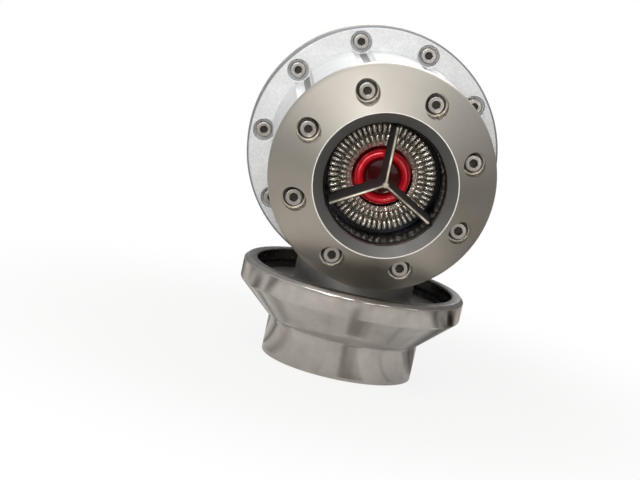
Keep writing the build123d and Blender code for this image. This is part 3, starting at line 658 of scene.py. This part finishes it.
for face in flangePiece.data.polygons:
    point = face.center / mm
    # the rim's upper face takes the painted shade
    if point.z > flange["rimShadeFrom"]:
        face.material_index = 2
    inCup = (point.x ** 2 + point.y ** 2) ** 0.5 < flange["shadedWithin"]
    if inCup and flange["plugFloor"] < point.z < flange["shadedBelow"]:
        towardsAxis = face.normal.x * point.x + face.normal.y * point.y < 0
        face.material_index = 1 if towardsAxis or face.normal.z > flange["levelFrom"] else 0
print("weld-on flange ready")

# Both sets of screws, as circles round the valve's axis
frontSet = {"circle": 29.0, "count": 8, "start": 22.5, "length": 11.0, "firstTurn": 8}
rearSet = {"circle": 38.8, "count": 10, "start": 0, "length": 8.0, "firstTurn": 21}


def screwPlaces(screwSet):
    # centres of the screws beside the valve's axis
    circle, count, start = screwSet["circle"], screwSet["count"], radians(screwSet["start"])
    angles = [start + 2 * pi * index / count for index in range(count)]
    return [(circle * cos(angle), circle * sin(angle)) for angle in angles]


frontPlaces, rearPlaces = screwPlaces(frontSet), screwPlaces(rearSet)
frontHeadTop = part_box("front_screws")[0][1] / mm
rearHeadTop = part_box("rear_screws")[0][1] / mm

# Front housing, with its stations in mm along the valve axis
bell = {
    "mouth": 19.6, "bevelWidth": 3.2, "bevelDepth": 2.6, "land": 23.1, "outer": 36.9, "coneEnd": -24.33,
    "coneRounding": 1.72, "joint": -21, "register": 23.2, "registerEnd": -18.5, "insertBore": 20.8,
    "insertDepth": 5.6, "edge": 0.1, "bareDepth": 0.02,
    "counterbore": 3.95, "hole": 1.7, "cutterFront": -44, "cutterRear": -20,
}
outletEdge = bellLow[1] / mm
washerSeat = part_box("front_washers")[1][1] / mm
mouth = bell["mouth"]
bellPiece = turnedPiece("bellTurned", [
    (mouth + bell["bevelWidth"], outletEdge), (bell["land"], outletEdge),
    (bell["outer"], bell["coneEnd"], bell["coneRounding"]), (bell["outer"], bell["joint"], bell["edge"]),
    (bell["register"], bell["joint"]), (bell["register"], bell["registerEnd"]),
    (bell["insertBore"], bell["registerEnd"]), (bell["insertBore"], outletEdge + bell["insertDepth"]),
    (mouth, outletEdge + bell["insertDepth"]), (mouth, outletEdge + bell["bevelDepth"], bell["edge"]),
], segments=220)

cutWith(bellPiece, [
    turnedPiece("counterboreCutter", [
        (0, bell["cutterFront"]), (bell["counterbore"], bell["cutterFront"]),
        (bell["counterbore"], washerSeat), (bell["hole"], washerSeat),
        (bell["hole"], bell["cutterRear"]), (0, bell["cutterRear"]),
    ], segments=56, centre=place, closed=False) for place in frontPlaces
])
dress(bellPiece, "beadBlastedAluminium", "bareTurnedEdge", "shadeDarkenedBevel")
ridePiece(bellPiece, "front_housing", "housing")
bareUntil = outletEdge + bell["bareDepth"]
for face in bellPiece.data.polygons:
    point = face.center / mm
    reach = (point.x ** 2 + (point.z - valveHeight) ** 2) ** 0.5
    if point.y < bareUntil:
        face.material_index = 1
    elif reach < mouth + bell["bevelWidth"] and point.y < bareUntil + bell["bevelDepth"]:
        # the bevel inside the mouth takes the painted shade
        face.material_index = 2

# Socket-head screws, each turned a little further than the one before
screw = {
    "head": 2.75, "height": 3.0, "shank": 1.5, "flats": 2.5, "socketDepth": 1.7, "drillPoint": 0.1,
    "face": 2.45, "crown": 2.62, "crownDrop": 0.1, "shoulderDrop": 0.42,
    "edge": 0.1, "shoulderRounding": 0.15,
    "overcut": 0.5, "funnel": 1.55, "funnelMargin": 0.1, "funnelHalf": 0.2, "funnelShare": 0.86,
    "turnStep": 17, "shadeFrom": 0.3, "shadePast": 0.4,
}


def socketScrew(name, place, headTop, length, turn):
    # a screw with its hex socket cut in, and the socket's edge turned off
    headFoot = headTop + screw["height"]
    body = turnedPiece(name + "Part", [
        (0, headTop), (screw["face"], headTop, screw["edge"]),
        (screw["crown"], headTop + screw["crownDrop"], screw["edge"]),
        (screw["head"], headTop + screw["shoulderDrop"], screw["shoulderRounding"]),
        (screw["head"], headFoot, screw["edge"]), (screw["shank"], headFoot),
        (screw["shank"], headFoot + length), (0, headFoot + length),
    ], segments=48, centre=place, closed=False)
    socketRadius = screw["flats"] / 2 / cos(radians(30))
    socketFloor = headTop + screw["socketDepth"]
    socket = turnedPiece(name + "Socket", [
        (0, headTop - screw["overcut"]), (socketRadius, headTop - screw["overcut"]),
        (socketRadius, socketFloor), (0, socketFloor + screw["drillPoint"]),
    ], segments=6, closed=False)
    above, below = headTop - screw["funnelHalf"], headTop + screw["funnelHalf"]
    funnel = turnedPiece(name + "Mouth", [
        (0, above), (screw["funnel"] + screw["funnelMargin"], above),
        (socketRadius * screw["funnelShare"], below), (0, below),
    ], segments=32, centre=place, closed=False)
    toAxis = Matrix.Translation(Vector((0, 0, valveHeight * mm)))
    spin = Matrix.Rotation(radians(turn), 4, "Y")
    shift = Matrix.Translation(Vector((place[0], 0, place[1])) * mm)
    socket.data.transform(shift @ toAxis @ spin @ toAxis.inverted())
    cutWith(body, [socket, funnel])
    return body


def screwPiece(name, node, screwSet, places, headTop):
    # the whole set, with painted shade in the sockets
    turns = [screwSet["firstTurn"] + screw["turnStep"] * index for index in range(len(places))]
    piece = joined(name, [
        socketScrew(name, place, headTop, screwSet["length"], turn) for place, turn in zip(places, turns)
    ])
    dress(piece, "stainlessSteel", "shadedSocket")
    ridePiece(piece, node, "housing")
    socketEnd = headTop + screw["socketDepth"] + screw["shadePast"]
    for face in piece.data.polygons:
        point = face.center / mm
        reach = min(
            ((point.x - place[0]) ** 2 + (point.z - valveHeight - place[1]) ** 2) ** 0.5 for place in places
        )
        if reach < screw["funnel"] and headTop + screw["shadeFrom"] < point.y < socketEnd:
            # the socket's walls and floor take the painted shade
            face.material_index = 1


screwPiece("frontScrewSet", "front_screws", frontSet, frontPlaces, frontHeadTop)
screwPiece("rearScrewSet", "rear_screws", rearSet, rearPlaces, rearHeadTop)
print("bell and screws ready")

# Primary valve with its dished nose, from the foot of the nose round to the seal's groove
redNose = {
    "tip": -23.5, "outer": 8.9, "lip": 1.35, "lipSteps": 16, "dish": 3.4, "dishSteps": 20,
    "button": 1.1, "buttonRounding": 0.4, "buttonTip": 0.5, "buttonHeight": 1.2, "tipRounding": 0.3,
    "buttonCrown": 1.3, "pilot": 9.0, "face": -14.2, "boreFloor": -17.25, "bore": 3.05, "rear": -11.2,
    "plate": 12.2, "edge": 0.1, "grooveOuter": 11.8, "grooveInner": 10.3, "grooveFloor": -13.3,
}
tip, outer, lip, rear = redNose["tip"], redNose["outer"], redNose["lip"], redNose["rear"]
dishRadius = outer - 2 * lip
dishFloor = tip + redNose["dish"]
lipSteps, dishSteps = redNose["lipSteps"], redNose["dishSteps"]
lipArc = [
    (outer - lip + lip * cos(pi * turn / lipSteps), tip + lip * (1 - sin(pi * turn / lipSteps)))
    for turn in range(1, lipSteps - 1)
]
dishDepth = redNose["dish"] - lip
dishArc = [
    (dishRadius * cos(pi * turn / dishSteps), tip + lip + dishDepth * sin(pi * turn / dishSteps))
    for turn in range(1, dishSteps // 2)
]
nosePiece = turnedPiece("redNoseTurned", [
    (redNose["pilot"], redNose["face"]), (outer, tip + lip),
] + lipArc + dishArc + [
    (redNose["button"], dishFloor, redNose["buttonRounding"]),
    (redNose["buttonTip"], dishFloor - redNose["buttonHeight"], redNose["tipRounding"]),
    (0, dishFloor - redNose["buttonCrown"]), (0, redNose["boreFloor"]),
    (redNose["bore"], redNose["boreFloor"]), (redNose["bore"], rear),
    (redNose["plate"], rear, redNose["edge"]), (redNose["plate"], redNose["face"], redNose["edge"]),
    (redNose["grooveOuter"], redNose["face"]),
    (redNose["grooveOuter"], redNose["grooveFloor"]), (redNose["grooveInner"], redNose["grooveFloor"]),
    (redNose["grooveInner"], redNose["face"]),
], segments=128, closed=False)
dress(nosePiece, "redAnodisedAluminium")
ridePiece(nosePiece, "primary_valve", "primary")

# Fin ring: a domed ring with two tiers of cast ribs
finRing = {
    "inner": 9.9, "outer": 17.7, "rear": -19.3, "collar": -20.9, "darkBehind": -20.75,
    "tiers": [
        {"from": 11.2, "to": 14.1, "ribs": 48, "foot": -20.6, "crest": -22.7},
        {"from": 14.2, "to": 17.7, "ribs": 60, "foot": -20.2, "crest": -22.0},
    ],
    "stepsRound": 960, "stepsAcross": 8, "dome": 1.2, "domePower": 6,  # how full a tier's ribs are lengthways
    "ribShare": 0.94, "roundness": 2.6, "uneven": 0.22, "unevenStep": 2.4,
}


def ribHeight(tier, turn):
    # 1 on a rib and 0 between two, rounded, and a little uneven as cast
    ribsOn = turn * tier["ribs"]
    offCrest = abs(ribsOn % 1 - 0.5) * 2
    uneven = 1 - finRing["uneven"] * (0.5 + 0.5 * sin(finRing["unevenStep"] * int(ribsOn) + tier["ribs"]))
    return uneven * max(0, 1 - (offCrest / finRing["ribShare"]) ** finRing["roundness"]) ** 0.5


def flutedRing(name):
    # a row is a radius, a station or a share of the tier's height, and the tier
    outline = [(finRing["inner"], finRing["rear"], None), (finRing["inner"], finRing["collar"], None)]
    for tier in finRing["tiers"]:
        for step in range(finRing["stepsAcross"] + 1):
            share = step / finRing["stepsAcross"]
            radius = tier["from"] + (tier["to"] - tier["from"]) * share
            domed = (finRing["dome"] - (2 * share - 1) ** finRing["domePower"]) ** 0.5
            outline.append((radius, domed, tier))
    outline.append((finRing["outer"], finRing["rear"], None))
    points = []
    for step in range(finRing["stepsRound"]):
        turn = step / finRing["stepsRound"]
        for radius, along, tier in outline:
            if tier:
                along = tier["foot"] + (tier["crest"] - tier["foot"]) * along * ribHeight(tier, turn)
            points.append(valvePoint(radius, 2 * pi * turn, along))
    return pieceFromPoints(name, points, facesRound(finRing["stepsRound"], len(outline)))


ringPiece = flutedRing("finRingTurned")
dress(ringPiece, "brightChrome", "darkenedChrome")
ridePiece(ringPiece, "fin_ring", "secondary")
for face in ringPiece.data.polygons:
    if face.center.y / mm > finRing["darkBehind"]:
        # faces behind this station, between the fins, take the painted shade
        face.material_index = 1
print("inner valves ready")

# Springs. The return spring spans two slides, so it is two pieces.
springs = {
    "sections": 12, "stepsPerTurn": 40,
    "closing": {"front": -3.5, "rear": 20.0, "coilRadius": 9.9, "wire": 0.6, "turns": 5.0},
    "returning": {"front": 41.2, "rear": 57.0, "coilRadius": 15.0, "wire": 1.0, "turns": 3.5},
    "split": 0.31,  # share of the return spring's length at which its two pieces meet
}


def coilStation(coil, share):
    return coil["front"] + coil["wire"] + (coil["rear"] - coil["front"] - 2 * coil["wire"]) * share


def coilPiece(name, coil, fromShare, toShare):
    # a round wire along the part of the coil between two shares of its length
    sections = springs["sections"]
    count = round(coil["turns"] * springs["stepsPerTurn"] * (toShare - fromShare))
    points, faces = [], []
    for step in range(count + 1):
        share = fromShare + (toShare - fromShare) * step / count
        angle = 2 * pi * coil["turns"] * share
        for section in range(sections):
            around = 2 * pi * section / sections
            radius = coil["coilRadius"] + coil["wire"] * cos(around)
            points.append(valvePoint(radius, angle, coilStation(coil, share) + coil["wire"] * sin(around)))
    for step in range(count):
        for section in range(sections):
            beside = (section + 1) % sections
            faces.append((
                step * sections + section, step * sections + beside,
                (step + 1) * sections + beside, (step + 1) * sections + section,
            ))
    faces.append(tuple(range(sections)))
    faces.append(tuple(range(count * sections, (count + 1) * sections)))
    return pieceFromPoints(name, points, faces)


# bakes the piece's placing into its mesh and hides the node that it replaces
def blendPiece(piece, node):
    # ends are the bodies that the piece follows at its two stations
    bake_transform(piece)
    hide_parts(node)


def springPiece(name, node, coil, fromShare, toShare):
    piece = coilPiece(name, coil, fromShare, toShare)
    dress(piece, "springSteel")
    blendPiece(piece, node)


closing, returning = springs["closing"], springs["returning"]
split = springs["split"]
springPiece("closingCoil", "closing_spring", closing, 0, 1)
springPiece("returnCoilFront", "return_spring", returning, 0, split)
springPiece("returnCoilRear", "return_spring", returning, split, 1)

# Diaphragm: its middle goes with the shaft, and its rolled fold and clamped rim are pieces of their own
diaphragm = {
    "hole": 3.05, "rollStart": 24.6, "rollRadius": 3.6, "outer": 43.6, "thickness": 1.2,
    "middle": 39.1, "rim": 44.3, "screwHole": 1.7, "cutterFront": 43, "cutterRear": 46,
}
middle, rollRadius = diaphragm["middle"], diaphragm["rollRadius"]
halfThick = diaphragm["thickness"] / 2
rollMiddle = diaphragm["rollStart"] + rollRadius


def rollArc(radius, fromTurn, toTurn, steps=10):
    # points of the fold, at a radius from the middle of its curve
    turns = [radians(fromTurn + (toTurn - fromTurn) * step / steps) for step in range(steps + 1)]
    return [(rollMiddle - radius * cos(turn), middle - radius * sin(turn)) for turn in turns]


rollInside, rollOutside = rollRadius - halfThick, rollRadius + halfThick
centrePiece = turnedPiece("diaphragmCentre", [
    (diaphragm["hole"], middle - halfThick), (diaphragm["rollStart"], middle - halfThick),
    (diaphragm["rollStart"], middle + halfThick), (diaphragm["hole"], middle + halfThick),
])
dress(centrePiece, "diaphragmRubber")
ridePiece(centrePiece, "diaphragm", "primary")
foldPiece = turnedPiece("diaphragmFold", rollArc(rollOutside, 0, 90) + rollArc(rollInside, 90, 0))
dress(foldPiece, "diaphragmRubber")
blendPiece(foldPiece, "diaphragm")
wallRadius = rollMiddle + rollRadius
rimFront, rimRear = diaphragm["rim"] - halfThick, diaphragm["rim"] + halfThick
rimPiece = turnedPiece("diaphragmRim", rollArc(rollOutside, 90, 180)[:-1] + [
    (wallRadius + halfThick, middle), (wallRadius + halfThick, rimFront), (diaphragm["outer"], rimFront),
    (diaphragm["outer"], rimRear), (wallRadius - halfThick, rimRear), (wallRadius - halfThick, middle),
] + rollArc(rollInside, 180, 90)[1:])
cutWith(rimPiece, [
    turnedPiece("rimHoleCutter", [
        (0, diaphragm["cutterFront"]), (diaphragm["screwHole"], diaphragm["cutterFront"]),
        (diaphragm["screwHole"], diaphragm["cutterRear"]), (0, diaphragm["cutterRear"]),
    ], segments=24, centre=place, closed=False) for place in rearPlaces
])
dress(rimPiece, "diaphragmRubber")
blendPiece(rimPiece, "diaphragm")
print("springs and diaphragm ready")
